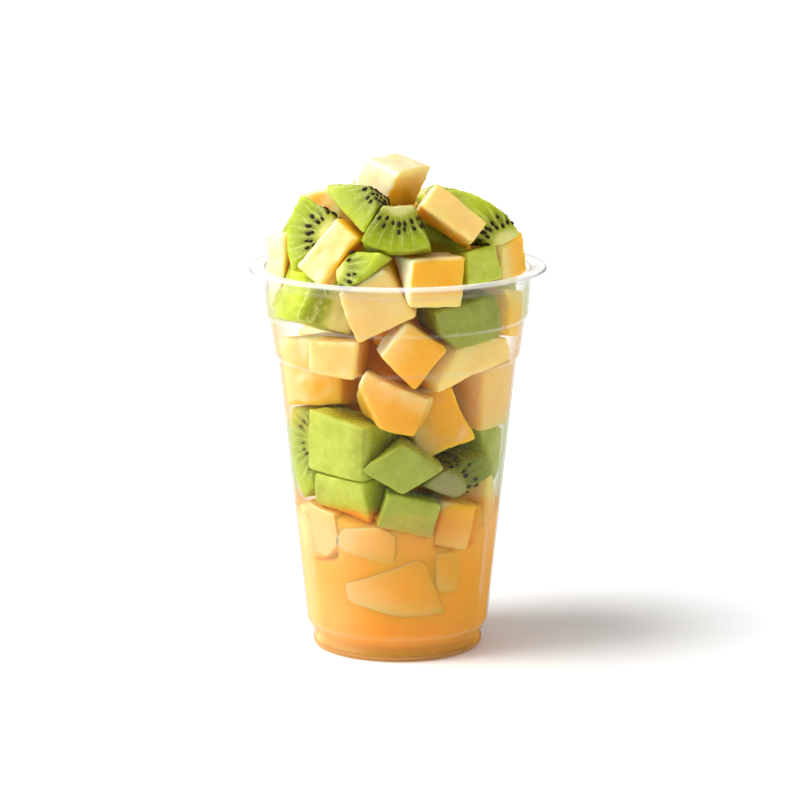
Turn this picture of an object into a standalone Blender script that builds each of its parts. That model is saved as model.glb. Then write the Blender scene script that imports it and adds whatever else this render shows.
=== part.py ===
"""Fruit cup: melon and kiwi chunks heaped in a clear takeaway cup, with juice in its foot.

Frame: metres, +Z up, origin in the middle of the foot. Bearing 0 is the front (-Y), and
bearings grow to the right. Each chunk is a convex block that knife planes have shaped.
"""
import math
import random

import bmesh
import bpy
from mathutils import Matrix, Vector

MM = 0.001

# ---- driving dimensions of the cup (radii are of its outer side) ----
SIDES = 60                      # facets round every turned piece
WALL = 0.6 * MM
CUP_HEIGHT = 124.0 * MM
LIP_RADIUS = 47.5 * MM
BEAD_RADIUS = 1.15 * MM         # rolled edge of the lip
NECK_TOP = (42.6 * MM, 121.4 * MM)
NECK_FOOT = (41.6 * MM, 108.0 * MM)
COLLAR_TOP = (40.6 * MM, 106.6 * MM)
COLLAR_FOOT = (39.1 * MM, 95.6 * MM)
BODY_TOP = (37.95 * MM, 93.2 * MM)
BODY_FOOT = (29.1 * MM, 8.2 * MM)
WAIST = (26.8 * MM, 4.2 * MM)
FOOT_BULGE = (27.3 * MM, 1.7 * MM)
FOOT_RING = (26.2 * MM, 24.5 * MM)      # flat ring that the cup stands on
PUNT_HEIGHT = 2.6 * MM                  # recess under the foot

# ---- contents ----
JUICE_LEVEL = 50.0 * MM
GAP = 0.35 * MM                 # between any two touching pieces
WALL_GAP = 0.45 * MM            # between a chunk's corner and the cup
KIWI_RADIUS = 23.0 * MM
KIWI_FACETS = 22                # knife planes round a whole kiwi
KNIFE_SNAP = 1e-6
SMALLEST_CHUNK = 0.8e-6         # cubic metres; a chunk its neighbours leave less of is left out
BLANK = 90.0 * MM               # cube that every chunk is cut from

COLOURS = {
    "cup": ((0.90, 0.93, 0.94, 1.0), 0.05),
    "juice": ((0.90, 0.47, 0.09, 1.0), 0.10),
    "melon": ((0.96, 0.64, 0.25, 1.0), 0.35),
    "kiwi": ((0.42, 0.60, 0.08, 1.0), 0.30),
}


# ---- scene helpers ----
def clear_scene():
    for thing in list(bpy.data.objects):
        bpy.data.objects.remove(thing, do_unlink=True)


def new_collection(name):
    collection = bpy.data.collections.new(name)
    bpy.context.scene.collection.children.link(collection)
    return collection


def new_material(name, kind):
    colour, roughness = COLOURS[kind]
    material = bpy.data.materials.new(name)
    material.use_nodes = True
    shader = material.node_tree.nodes["Principled BSDF"]
    shader.inputs["Base Color"].default_value = colour
    shader.inputs["Roughness"].default_value = roughness
    shader.inputs["Metallic"].default_value = 0.0
    if kind == "cup":
        shader.inputs["Transmission Weight"].default_value = 1.0
    return material


def new_object(name, mesh, kind, collection):
    thing = bpy.data.objects.new(name, mesh)
    mesh.materials.append(new_material(name, kind))
    collection.objects.link(thing)
    return thing


# ---- turned pieces ----
def arc(centre, radius, start, end, count):
    """Points round part of a circle, angles in degrees from +X, ends included."""
    points = []
    for step in range(count + 1):
        angle = math.radians(start + (end - start) * step / count)
        points.append((centre[0] + radius * math.cos(angle), centre[1] + radius * math.sin(angle)))
    return points


def inward(point, drop=0.0):
    """The inner side of the wall, one wall thickness in from a point of the outer side."""
    return (point[0] - WALL, point[1] + drop)


def cup_profile():
    """The cup's outline from its inner floor, up inside, over the lip and down outside."""
    floor = PUNT_HEIGHT + WALL
    bead = (LIP_RADIUS - BEAD_RADIUS, CUP_HEIGHT - BEAD_RADIUS)
    outline = [(0.0, floor), (FOOT_RING[1] - 1.9 * MM, floor)]
    outline += [(FOOT_RING[1] - 0.2 * MM, WALL), (FOOT_RING[0] - 0.4 * MM, WALL)]
    outline += [inward(FOOT_BULGE), inward(WAIST), inward(BODY_FOOT, 0.2 * MM)]
    outline += [inward(BODY_TOP, 0.3 * MM), inward(COLLAR_FOOT, 0.3 * MM)]
    outline += [inward(COLLAR_TOP, 0.2 * MM), inward(NECK_FOOT, 0.2 * MM)]
    outline += [(NECK_TOP[0] - WALL, CUP_HEIGHT - 1.3 * MM)]
    outline += [(NECK_TOP[0] - 0.2 * MM, CUP_HEIGHT - 0.6 * MM)]
    outline += [(NECK_TOP[0] + 0.8 * MM, CUP_HEIGHT - 0.3 * MM)]
    outline += arc(bead, BEAD_RADIUS, 100, -170, 8)
    outline += [(NECK_TOP[0] + 0.9 * MM, CUP_HEIGHT - 1.3 * MM), NECK_TOP, NECK_FOOT]
    outline += [COLLAR_TOP, COLLAR_FOOT, BODY_TOP, BODY_FOOT]
    outline += [(WAIST[0] + 0.6 * MM, WAIST[1] + 1.1 * MM), WAIST]
    outline += [FOOT_BULGE, (FOOT_BULGE[0] - 0.3 * MM, 0.6 * MM), (FOOT_RING[0], 0.0)]
    outline += [(FOOT_RING[1], 0.0), (FOOT_RING[1] - 1.6 * MM, PUNT_HEIGHT), (0.0, PUNT_HEIGHT)]
    return outline


def inner_radius(height):
    """Radius of the cup's inner wall at a height; above the rim the heap may lean out."""
    rim_flare = 0.1
    stations = [inward(WAIST), inward(BODY_FOOT), inward(BODY_TOP), inward(COLLAR_FOOT)]
    stations += [inward(COLLAR_TOP), inward(NECK_FOOT), inward(NECK_TOP)]
    if height >= stations[-1][1]:
        return stations[-1][0] + rim_flare * max(0.0, height - CUP_HEIGHT)
    for low, high in zip(stations, stations[1:]):
        if height <= high[1]:
            share = max(0.0, (height - low[1]) / (high[1] - low[1]))
            return low[0] + share * (high[0] - low[0])


def turned_object(name, outline, kind, collection):
    mesh = bpy.data.meshes.new(name)
    edges = [(i, i + 1) for i in range(len(outline) - 1)]
    mesh.from_pydata([(r, 0.0, z) for r, z in outline], edges, [])
    thing = new_object(name, mesh, kind, collection)
    screw = thing.modifiers.new("turn", "SCREW")
    screw.steps = SIDES
    screw.render_steps = SIDES
    screw.use_merge_vertices = True
    screw.merge_threshold = 0.00001
    screw.use_smooth_shade = True
    return thing


def juice_profile():
    """The juice, a gap inside the cup, from the middle of its surface down to the floor."""
    side = inner_radius(JUICE_LEVEL) - GAP
    floor = PUNT_HEIGHT + WALL + GAP
    outline = [(0.0, JUICE_LEVEL), (side, JUICE_LEVEL)]
    outline += [(inner_radius(BODY_FOOT[1]) - GAP, BODY_FOOT[1] + 0.4 * MM)]
    outline += [(WAIST[0] - WALL - GAP, WAIST[1] + 0.4 * MM), (WAIST[0] - WALL - GAP, floor), (0.0, floor)]
    return outline


# ---- knife work ----
def blank(size=BLANK):
    mesh = bmesh.new()
    bmesh.ops.create_cube(mesh, size=size)
    return mesh


def slice_off(mesh, normal, distance):
    """Cuts away what lies beyond the plane normal . x = distance, and closes the cut."""
    geometry = mesh.verts[:] + mesh.edges[:] + mesh.faces[:]
    cut = bmesh.ops.bisect_plane(mesh, geom=geometry, dist=KNIFE_SNAP, plane_co=normal * distance,
                                 plane_no=normal, clear_outer=True)
    rim = [item for item in cut["geom_cut"] if isinstance(item, bmesh.types.BMEdge)]
    if rim:
        bmesh.ops.holes_fill(mesh, edges=rim, sides=0)


def direction(bearing, lift=0.0):
    """Unit vector in a piece's own x-z plane (angle from +x), lifted towards -y."""
    angle, rise = math.radians(bearing), math.radians(lift)
    return Vector((math.cos(angle) * math.cos(rise), -math.sin(rise), math.sin(angle) * math.cos(rise)))


def melon_block(width, depth, height, skew=0.0, corner=0.0, seed=0):
    """A melon chunk: six knife cuts, none quite square, and perhaps one corner taken off."""
    unsteady = random.Random(seed)
    mesh = blank()
    for angle, reach in ((0, width), (180, width), (90 + skew, height), (270 + skew, height)):
        slice_off(mesh, direction(angle + unsteady.uniform(-6, 6), unsteady.uniform(-6, 6)), reach / 2 * MM)
    for side in (-90, 90):
        slice_off(mesh, direction(unsteady.uniform(0, 360), side + unsteady.uniform(-7, 7)), depth / 2 * MM)
    if corner:
        slice_off(mesh, direction(corner, 20), 0.42 * (width + height) / 2 * MM)
    return mesh


def kiwi_slice(thickness, slant=0.0):
    """A slice across a whole kiwi, its axis along the piece's own y, its two cuts slanted."""
    mesh = blank()
    lean = Matrix.Rotation(math.radians(slant), 3, "Z")
    for side in (-90, 90):
        slice_off(mesh, lean @ direction(0, side), thickness / 2 * MM)
    for facet in range(KIWI_FACETS):
        slice_off(mesh, direction(360.0 * (facet + 0.5) / KIWI_FACETS), KIWI_RADIUS)
    return mesh


def kiwi_wedge(thickness, left, right, near=2.0, apex=5.0):
    """A kiwi chunk cut like a fan: left and right are its side cuts' angles from straight down.

    The side cuts meet apex above the core, and the top cut is near below it.
    """
    mesh = kiwi_slice(thickness)
    for way in (direction(180 - left), direction(right)):
        slice_off(mesh, way, way.z * apex * MM)
    slice_off(mesh, direction(90), -near * MM)
    return mesh


def kiwi_block(width, thickness, near, far, slant=0.0):
    """A kiwi chunk with straight sides, its skin side looking out.

    near and far are its inner and outer cuts' distances from the core.
    """
    mesh = kiwi_slice(thickness, slant)
    slice_off(mesh, direction(0), width / 2 * MM)
    slice_off(mesh, direction(180), width / 2 * MM)
    slice_off(mesh, direction(90), -near * MM)
    slice_off(mesh, direction(270), far * MM)
    mesh.transform(Matrix.Rotation(math.radians(-90), 4, "X"))
    return mesh


def centre_of(mesh):
    corners = [vertex.co for vertex in mesh.verts]
    return sum(corners, Vector()) / len(corners)


def reach_along(mesh, axis):
    spans = [vertex.co.dot(axis) for vertex in mesh.verts]
    return min(spans), max(spans)


def outward(bearing):
    angle = math.radians(bearing)
    return Vector((math.sin(angle), -math.cos(angle), 0.0))


def place(mesh, bearing, reach, height, facing, tip, roll):
    """Turns a chunk about its middle and sets it at a bearing, a reach from the axis and a height.

    facing is the bearing that its outer side looks to, tip turns that side down and roll
    turns it clockwise.
    """
    turn = Matrix.Rotation(math.radians(facing), 4, "Z")
    turn = turn @ Matrix.Rotation(math.radians(tip), 4, "X") @ Matrix.Rotation(math.radians(roll), 4, "Y")
    spot = outward(bearing) * reach * MM + Vector((0.0, 0.0, height * MM))
    mesh.transform(Matrix.Translation(spot) @ turn @ Matrix.Translation(-centre_of(mesh)))


def room_outside(mesh):
    """How far a chunk's outermost corner is from the cup's wall."""
    return min(inner_radius(vertex.co.z) - WALL_GAP - vertex.co.xy.length for vertex in mesh.verts)


def slide(mesh, bearing, inset=0.0, only_inward=False):
    """Slides a chunk along its bearing until its outermost corner is an inset from the wall."""
    for _ in range(8):
        room = room_outside(mesh) - inset * MM
        if room < 0 or not only_inward:
            bmesh.ops.translate(mesh, verts=mesh.verts, vec=outward(bearing) * room)


def parting_axes(first, second):
    axes = [face.normal.copy() for face in first.faces] + [face.normal.copy() for face in second.faces]
    crossed = [a.cross(b) for a in axes[:6] for b in axes[-6:]]
    return axes + [axis.normalized() for axis in crossed if axis.length > 0.2]


def part_from(earlier, later):
    """Slices the later chunk along the flattest cut that clears the earlier one."""
    between = centre_of(later) - centre_of(earlier)
    best = None
    for axis in parting_axes(earlier, later):
        axis = axis if axis.dot(between) > 0 else -axis
        edge = reach_along(earlier, axis)[1]
        overlap = edge - reach_along(later, axis)[0]
        if best is None or overlap < best[0]:
            best = (overlap, axis, edge)
    overlap, axis, edge = best
    if overlap > -GAP:
        slice_off(later, -axis, -(edge + GAP))


# ---- the chunks ----
def front_chunks():
    """Front half of the wall: kind, mesh, bearing, height, inset, facing, tip and roll."""
    return [
        ("melon", melon_block(16, 15, 15, seed=5), 8, 101, 0, 4, -8, 40),
        ("melon", melon_block(19, 16, 22, seed=2), -10, 116, 1, -4, 5, -27),
        ("melon", melon_block(22, 16, 17, seed=8, corner=225), -5, 85, 0, -6, -5, 18),
        ("melon", melon_block(17, 16, 20, seed=9), 34, 77, 0, 8, -4, -22),
        ("kiwi", kiwi_wedge(18, 36, 36, near=4), -74, 113.5, 0, -50, 70, 3),
        ("kiwi", kiwi_block(21, 14, 5, 20), 42, 110, 0, 25, 5, -10),
        ("melon", melon_block(15, 16, 20, seed=3), -42, 102, 0, -14, 0, 3),
        ("melon", melon_block(15, 16, 15, seed=12), 76, 110, 0, 56, 0, 8),
        ("melon", melon_block(28, 16, 17, seed=6), 54, 97, 0, 36, 4, -18),
        ("kiwi", kiwi_block(21, 20, 3, 21), -37, 70.5, 0, -38, 0, 4),
        ("melon", melon_block(18, 17, 30, seed=7), -84, 92.5, 0, -42, 0, -6),
        ("melon", melon_block(18, 17, 21, seed=10), 80, 83, 0, 50, 0, 0),
        ("kiwi", kiwi_block(14, 14, 5, 19, slant=-24), 3, 64, 0, 2, 0, 57),
        ("kiwi", kiwi_wedge(15, 38, 38, near=4), 44, 66, 0, 26, 0, 205),
        ("kiwi", kiwi_wedge(14, 32, 32, near=5), 84, 63, 0, 60, 0, 90),
        ("kiwi", kiwi_wedge(15, 36, 36, near=5), -86, 65, 0, -52, 0, 82),
        ("kiwi", kiwi_block(20, 16, 4, 20), -36, 57, 0, -38, 25, 16),
        ("kiwi", kiwi_block(17, 13, 5, 20), 8, 49.5, 1, 6, 0, 15),
        ("melon", melon_block(15, 15, 15, seed=18), 43, 44, 0, 14, 0, 10),
        ("melon", melon_block(18, 16, 24, seed=19), -76, 43, 0, -34, 0, -10),
        ("melon", melon_block(13, 14, 17, seed=22), 86, 49, 0, 60, 0, 6),
    ]


def dome_chunks():
    """The heap above the rim: kind, mesh, bearing, reach, height, facing, tip and roll."""
    return [
        ("melon", melon_block(13, 20, 13, seed=201), -21, 5.3, 151.5, -30, -3, 20),
        ("kiwi", kiwi_wedge(14, 29, 23, near=8.5, apex=2), 1, 32, 136.2, -4, -24, 0),
        ("melon", melon_block(20, 15, 14, seed=33), 29, 31, 141, 14, -20, 42),
        ("melon", melon_block(18, 15, 19, seed=39), 17.5, 34, 125.5, 22, -4, 1),
        ("melon", melon_block(12, 14, 20, seed=37), -37, 34.5, 131, -25, -12, 38),
        ("kiwi", kiwi_wedge(11, 32, 32, near=6.5, apex=3), -14, 37.5, 130.5, -36, -22, -62),
        ("kiwi", kiwi_wedge(15, 33, 47, near=6, apex=3), -24.5, 28, 138.5, -26, -24, 55),
        ("melon", melon_block(11, 13, 24, seed=43), -84, 40, 123, -60, 0, -6),
        ("kiwi", kiwi_wedge(14, 34, 34, near=7, apex=4), -58.5, 39.5, 132.5, -22, -25, 80),
        ("kiwi", kiwi_block(15, 13, 6, 19), 44, 38, 127.5, 30, -12, -8),
        ("melon", melon_block(12, 12, 14, seed=42), 80, 43, 127, 54, 0, -10),
        ("kiwi", kiwi_wedge(15, 38, 38, near=6), 58, 32, 142, 30, -20, 210),
        ("kiwi", kiwi_block(12, 12, 6, 20), 66, 36, 121, 56, 0, 0),
        ("melon", melon_block(13, 17, 13, seed=45), -93, 21, 141.5, -20, 0, -20),
        ("kiwi", kiwi_block(20, 17, 3, 21), 52, 15, 141, 10, -45, 0),
        ("melon", melon_block(18, 17, 17, seed=47), 10, 14, 132, 0, 0, 0),
        ("melon", melon_block(18, 18, 16, seed=48), 165, 10, 138, 20, -8, 0),
    ]


def back_chunks():
    """The back of the wall and of the heap, in courses of the same fruit as the front's."""
    unsteady = random.Random(11)
    rows = []
    courses = ((114, 104, "kmmk"), (95, 124, "mmm"), (76, 116, "kkkm"), (57, 118, "kkk"))
    for height, first, kinds in courses:
        step = 152.0 / len(kinds)
        for order, letter in enumerate(kinds):
            bearing = first + step * order + unsteady.uniform(-4, 4)
            tilt = [unsteady.uniform(-20, 20) for _ in range(3)]
            rows.append((letter, bearing, height + unsteady.uniform(-3, 3), tilt, 60))
    for bearing, letter, height in ((124, "m", 127), (160, "k", 130), (206, "m", 132), (238, "k", 128)):
        tilt = [unsteady.uniform(-20, 20) for _ in range(3)]
        rows.append((letter, bearing, height, tilt, 27))
    chunks = []
    for order, (letter, bearing, height, tilt, reach) in enumerate(rows):
        if letter == "m":
            mesh = melon_block(*(unsteady.uniform(17, 22) for _ in range(3)), seed=60 + order)
        elif order % 2:
            mesh = kiwi_wedge(17, 38, 38, near=4)
        else:
            mesh = kiwi_block(20, 18, 4, 21)
        kind = {"m": "melon", "k": "kiwi"}[letter]
        chunks.append((kind, mesh, bearing, reach, height, bearing + tilt[0], tilt[1], 3 * tilt[2]))
    return chunks


def middle_chunks():
    """Chunks up the middle of the cup, which the heap rests on."""
    chunks = []
    for order, height in enumerate((113, 90, 66)):
        kind = "melon" if order < 2 else "kiwi"
        mesh = melon_block(24, 24, 24, seed=80 + order)
        chunks.append((kind, mesh, 90 * order, 5, height, 37 * order, 6, 0))
    return chunks


def shaped_chunks():
    """Every chunk set in its place and trimmed to the ones before it, as (kind, mesh)."""
    meshes = []
    for kind, mesh, bearing, height, inset, facing, tip, roll in front_chunks():
        place(mesh, bearing, 20, height, facing, tip, roll)
        slide(mesh, bearing, inset)
        meshes.append((kind, mesh))
    for row in dome_chunks() + back_chunks() + middle_chunks():
        kind, mesh, bearing, reach, height, facing, tip, roll = row
        place(mesh, bearing, reach, height, facing, tip, roll)
        slide(mesh, bearing, only_inward=True)
        meshes.append((kind, mesh))
    kept = []
    for kind, mesh in meshes:
        for _, earlier in kept:
            if mesh.faces:
                part_from(earlier, mesh)
        if mesh.faces and mesh.calc_volume() > SMALLEST_CHUNK:
            kept.append((kind, mesh))
    return kept


def add_chunk(name, mesh, kind, collection):
    """Makes the object of a chunk that lies in its place, with its origin in its middle."""
    middle = centre_of(mesh)
    bmesh.ops.recalc_face_normals(mesh, faces=mesh.faces)
    data = bpy.data.meshes.new(name)
    mesh.to_mesh(data)
    data.transform(Matrix.Translation(-middle))
    thing = new_object(name, data, kind, collection)
    thing.location = middle
    return thing


def grown(mesh):
    """The same chunk with every side moved out by the gap, to cut its place in the juice."""
    cutter = blank(4 * BLANK)
    for face in mesh.faces:
        slice_off(cutter, face.normal, face.normal.dot(face.verts[0].co) + GAP)
    return cutter


def cut_juice(juice, name, mesh, cutters):
    """Cuts the place of a partly sunk chunk out of the juice."""
    cutter = add_chunk("%s_place" % name, grown(mesh), "juice", cutters)
    cutter.hide_render = True
    cutter.display_type = "WIRE"
    cut = juice.modifiers.new(cutter.name, "BOOLEAN")
    cut.operation = "DIFFERENCE"
    cut.solver = "EXACT"
    cut.object = cutter


def build():
    clear_scene()
    collection = new_collection("fruit_cup")
    cutters = new_collection("cutters")
    turned_object("cup", cup_profile(), "cup", collection)
    juice = turned_object("juice", juice_profile(), "juice", collection)
    counts = {"melon": 0, "kiwi": 0}
    for kind, mesh in shaped_chunks():
        counts[kind] += 1
        name = "%s_chunk_%02d" % (kind, counts[kind])
        add_chunk(name, mesh, kind, collection)
        if reach_along(mesh, Vector((0.0, 0.0, 1.0)))[0] < JUICE_LEVEL + GAP:
            cut_juice(juice, name, mesh, cutters)
        mesh.free()


build()
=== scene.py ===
# %% [markdown]
# # A clear cup of melon and kiwi chunks
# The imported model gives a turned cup, a body of juice and 58 chunks with flat knife cuts. This
# lesson gives them their looks: soft wet cuts, the kiwi's core, rays and seeds, cloudy juice
# with more fruit sunk in it, and a thin clear wall round everything.

# %% Load the model
import math
import random

import bmesh
import bpy
import numpy as np
from mathutils import Matrix, Vector
from mathutils.bvhtree import BVHTree


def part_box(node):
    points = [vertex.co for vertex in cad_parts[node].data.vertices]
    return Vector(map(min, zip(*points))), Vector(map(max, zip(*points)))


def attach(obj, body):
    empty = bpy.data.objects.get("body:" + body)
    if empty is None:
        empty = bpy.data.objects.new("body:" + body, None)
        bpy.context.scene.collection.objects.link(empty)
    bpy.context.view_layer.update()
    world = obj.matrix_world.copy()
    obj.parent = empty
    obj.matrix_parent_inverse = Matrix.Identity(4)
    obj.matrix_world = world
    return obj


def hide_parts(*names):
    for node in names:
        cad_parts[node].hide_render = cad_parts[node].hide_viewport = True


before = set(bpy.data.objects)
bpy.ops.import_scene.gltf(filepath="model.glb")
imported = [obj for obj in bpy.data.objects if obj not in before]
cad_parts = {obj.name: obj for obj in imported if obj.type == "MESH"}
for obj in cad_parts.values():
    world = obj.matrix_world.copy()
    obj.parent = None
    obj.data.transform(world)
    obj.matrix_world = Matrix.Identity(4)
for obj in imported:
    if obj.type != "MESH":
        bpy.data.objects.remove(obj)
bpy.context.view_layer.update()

MM = 0.001
melon_nodes = sorted(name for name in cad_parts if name.startswith("melon"))
kiwi_nodes = sorted(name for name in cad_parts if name.startswith("kiwi"))
print("melon chunks", len(melon_nodes), "kiwi chunks", len(kiwi_nodes))

# %% [markdown]
# ## Node trees written as sums
# A material or a Geometry Nodes tree is a graph, and long lists of links are hard to read.
# `Value` wraps one socket, so that + - * / and ** on it add Math nodes. `Graph.add` makes any
# other node: its type, its settings, and the values or links of its sockets.

# %% Values and graphs
class Value:
    """One output socket; Python's arithmetic on it adds Math nodes."""

    def __init__(self, graph, socket):
        self.graph = graph
        self.socket = socket

    def maths(self, operation, *values):
        return self.graph.add("ShaderNodeMath", {"operation": operation}, dict(enumerate(values)))

    def __add__(self, other):
        return self.maths("ADD", self, other)

    def __sub__(self, other):
        return self.maths("SUBTRACT", self, other)

    def __mul__(self, other):
        return self.maths("MULTIPLY", self, other)

    def __truediv__(self, other):
        return self.maths("DIVIDE", self, other)

    def __pow__(self, other):
        return self.maths("POWER", self, other)

    def __rsub__(self, other):
        return self.maths("SUBTRACT", other, self)

    def __rtruediv__(self, other):
        return self.maths("DIVIDE", other, self)

    __radd__ = __add__
    __rmul__ = __mul__

    def ramp(self, low, high, start=0.0, end=1.0):
        """A smooth step: start below low, end above high."""
        settings = {"interpolation_type": "SMOOTHSTEP"}
        values = {"Value": self, "From Min": low, "From Max": high, "To Min": start, "To Max": end}
        return self.graph.add("ShaderNodeMapRange", settings, values)


class Graph:
    """A node tree, and the one way of adding nodes to it."""

    def __init__(self, tree):
        self.tree = tree

    def connect(self, place, value):
        if isinstance(value, Value):
            self.tree.links.new(value.socket, place)
        else:
            place.default_value = value

    def add(self, kind, settings=None, values=None, out=0):
        """Adds a node and returns its output out as a Value. A ramp's stops are a setting."""
        node = self.tree.nodes.new(kind)
        for name, setting in (settings or {}).items():
            if name == "stops":
                stops = node.color_ramp.elements
                while len(stops) < len(setting):
                    stops.new(0.5)
                for stop, (position, colour) in zip(stops, setting):
                    stop.position = position
                    stop.color = (*colour, 1.0)
            else:
                setattr(node, name, setting)
        for name, value in (values or {}).items():
            self.connect(node.inputs[name], value)
        return Value(self, node.outputs[out]) if node.outputs else node

    def mix(self, factor, first, second):
        """first where factor is 0, second where it is 1; both are colours."""
        values = {0: factor, 6: first, 7: second}
        return self.add("ShaderNodeMix", {"data_type": "RGBA"}, values, out=2)

    def arrow(self, operation, first, second=None, out=0):
        """Vector maths on two vectors."""
        values = {0: first} if second is None else {0: first, 1: second}
        return self.add("ShaderNodeVectorMath", {"operation": operation}, values, out)

    def scaled(self, vector, size):
        values = {"Vector": vector, "Scale": size}
        return self.add("ShaderNodeVectorMath", {"operation": "SCALE"}, values)


def colour(red, green, blue):
    return (red, green, blue, 1.0)


def new_look(name):
    """An empty material and its graph."""
    material = bpy.data.materials.new(name)
    material.use_nodes = True
    material.node_tree.nodes.clear()
    return material, Graph(material.node_tree)


def finish_look(graph, surface, volume=None):
    values = {"Surface": surface}
    if volume is not None:
        values["Volume"] = volume
    graph.add("ShaderNodeOutputMaterial", None, values)


# %% [markdown]
# ## The inner wall
# The cup is a turned piece. Its outline is the points on one side of its mesh, followed edge by
# edge from the middle of the floor over the lip to the foot. The inner half of it tells how far
# the fruit can reach at any height.

# %% Outline of a turned node
def outline_of(node):
    """(radius, height) points of a turned CAD node, from axis to axis along its surface."""
    mesh = bmesh.new()
    mesh.from_mesh(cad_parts[node].data)
    bmesh.ops.remove_doubles(mesh, verts=mesh.verts, dist=2e-6)
    on_line = {v for v in mesh.verts if v.co.x > 0 and abs(v.co.y) < 5e-6}
    top, bottom = sorted(sorted(on_line, key=lambda v: v.co.x)[:2], key=lambda v: -v.co.z)
    path = [top]
    while path[-1] is not bottom:
        steps = [e.other_vert(path[-1]) for e in path[-1].link_edges]
        path.append([v for v in steps if v in on_line and v not in path][0])
    points = [(0.0, top.co.z)] + [(v.co.x, v.co.z) for v in path] + [(0.0, bottom.co.z)]
    mesh.free()
    return points


cup_outline = outline_of("cup")
rim_place = max(range(len(cup_outline)), key=lambda order: cup_outline[order][1])
INNER_SIDE = sorted((z, r) for r, z in cup_outline[:rim_place + 1] if z > 8.0 * MM and r > 20.0 * MM)


def inner_radius(heights):
    return np.interp(heights, [z for z, r in INNER_SIDE], [r for z, r in INNER_SIDE])


print("cup outline points", len(cup_outline), "inner side", len(INNER_SIDE))

# %% [markdown]
# ## What the juice hides
# The juice is cloudy, so whatever stands in it fades into its colour with depth behind the
# wall. Every look uses the same sum for that: below the juice's level, the further a point is
# from the cup's wall, the more of the juice's colour it takes.

# %% Depth in the juice
JUICE_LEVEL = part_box("juice")[1].z
JUICE_COLOUR = colour(0.88, 0.385, 0.030)
BODY_FOOT = (28.5 * MM, 8.2 * MM)           # inner radius and height at the foot of the body
BODY_FLARE = 0.1047                         # how fast the inner wall widens with height


def separate(graph, vector):
    node = graph.tree.nodes.new("ShaderNodeSeparateXYZ")
    graph.connect(node.inputs[0], vector)
    return [Value(graph, output) for output in node.outputs]


def in_juice(graph, clear=0.0 * MM, hidden=6.5 * MM):
    """0 in the open and at the wall, 1 where the juice hides everything."""
    x, y, z = separate(graph, graph.add("ShaderNodeTexCoord", None, None, out="Object"))
    reach = (x * x + y * y).maths("SQRT", x * x + y * y)
    depth = (z - BODY_FOOT[1]) * BODY_FLARE + BODY_FOOT[0] - reach
    return depth.ramp(clear, hidden) * z.ramp(JUICE_LEVEL - 3.0 * MM, JUICE_LEVEL + 1.0 * MM, 1.0, 0.0)


# %% [markdown]
# ## Where each chunk lay in its fruit
# A kiwi's pattern belongs to the whole fruit: rings round a core and rays out of it. A chunk
# shows the part of it that its cuts went through. So each chunk gets an attribute, `fruit`,
# that says where in its own fruit each of its points lay, and one material reads it for all.
#
# The chunk's shape tells where its core was. Its arc is made of facets that all touch the
# fruit's round side, a known angle apart: two neighbours give the axis, and the core lies one
# radius inside them. A chunk with no arc left takes its outermost face for the fruit's side.

# %% Read a chunk and find its core
KIWI_RADIUS = 23.0 * MM
FACET_TURN = math.radians(360 / 22)


def merged_chunk(node):
    """A CAD chunk as a mesh with shared corners and whole flat faces."""
    mesh = bmesh.new()
    mesh.from_mesh(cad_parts[node].data)
    bmesh.ops.remove_doubles(mesh, verts=mesh.verts, dist=2e-6)
    bmesh.ops.dissolve_limit(mesh, angle_limit=math.radians(0.6), verts=mesh.verts, edges=mesh.edges)
    mesh.normal_update()
    return mesh


def centre_of(mesh):
    return sum((vertex.co for vertex in mesh.verts), Vector()) / len(mesh.verts)


def arc_faces(mesh):
    """The faces that touched the fruit's round side, and the axis that they turn about."""
    best = ([], None)
    for first in mesh.faces:
        for second in mesh.faces:
            turn = first.normal.angle(second.normal)
            if first.index < second.index and abs(turn - FACET_TURN) < 0.004:
                axis = first.normal.cross(second.normal).normalized()
                found = []
                for face in mesh.faces:
                    steps = first.normal.angle(face.normal) / FACET_TURN
                    if abs(face.normal.dot(axis)) < 0.01 and abs(steps - round(steps)) < 0.02:
                        found.append(face)
                if len(found) > len(best[0]):
                    best = (found, axis)
    return best


KNOWN_CORES = {                 # a point of the core in millimetres, and the fruit's axis
    "kiwi_chunk_11": ((-24.0, -34.0, 129.0), (-0.54, -0.75, 0.37)),
    "kiwi_chunk_12": ((1.5, -25.0, 153.5), (-0.40, -0.82, 0.41)),
}


def fruit_frame(node):
    """A matrix whose columns are across, up, axis and core: from a fruit to its place here."""
    mesh = merged_chunk(node)
    mesh.faces.ensure_lookup_table()
    mesh.faces.index_update()
    middle = centre_of(mesh)
    faces, axis = arc_faces(mesh)
    if node in KNOWN_CORES:
        spot, axis = KNOWN_CORES[node]
        core, axis = Vector(spot) * MM, Vector(axis).normalized()
        out = (middle - core).normalized()
    elif len(faces) > 1:
        rows = [list(face.normal) for face in faces] + [list(axis)]
        sides = [face.normal.dot(face.verts[0].co) - KIWI_RADIUS for face in faces]
        core = Vector(np.linalg.lstsq(np.array(rows), np.array(sides + [axis.dot(middle)]), rcond=None)[0])
        out = (middle - core).normalized()
    else:
        away = Vector((middle.x, middle.y, 0.2 * (middle.z - 0.09)))
        outer = max(mesh.faces, key=lambda face: face.normal.dot(away))
        out = outer.normal.copy()
        upright = max(mesh.faces, key=lambda face: abs(face.normal.z) - 2 * abs(face.normal.dot(out)))
        axis = upright.normal.copy()
        axis = (axis - out * axis.dot(out)).normalized()
        core = outer.calc_center_median() - out * 0.9 * KIWI_RADIUS
        core += axis * axis.dot(middle - core)
    mesh.free()
    out = (out - axis * axis.dot(out)).normalized()
    across = axis.cross(out).normalized()
    frame_matrix = Matrix((across, out, axis)).transposed().to_4x4()
    frame_matrix.translation = core
    return frame_matrix, len(faces)


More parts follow.
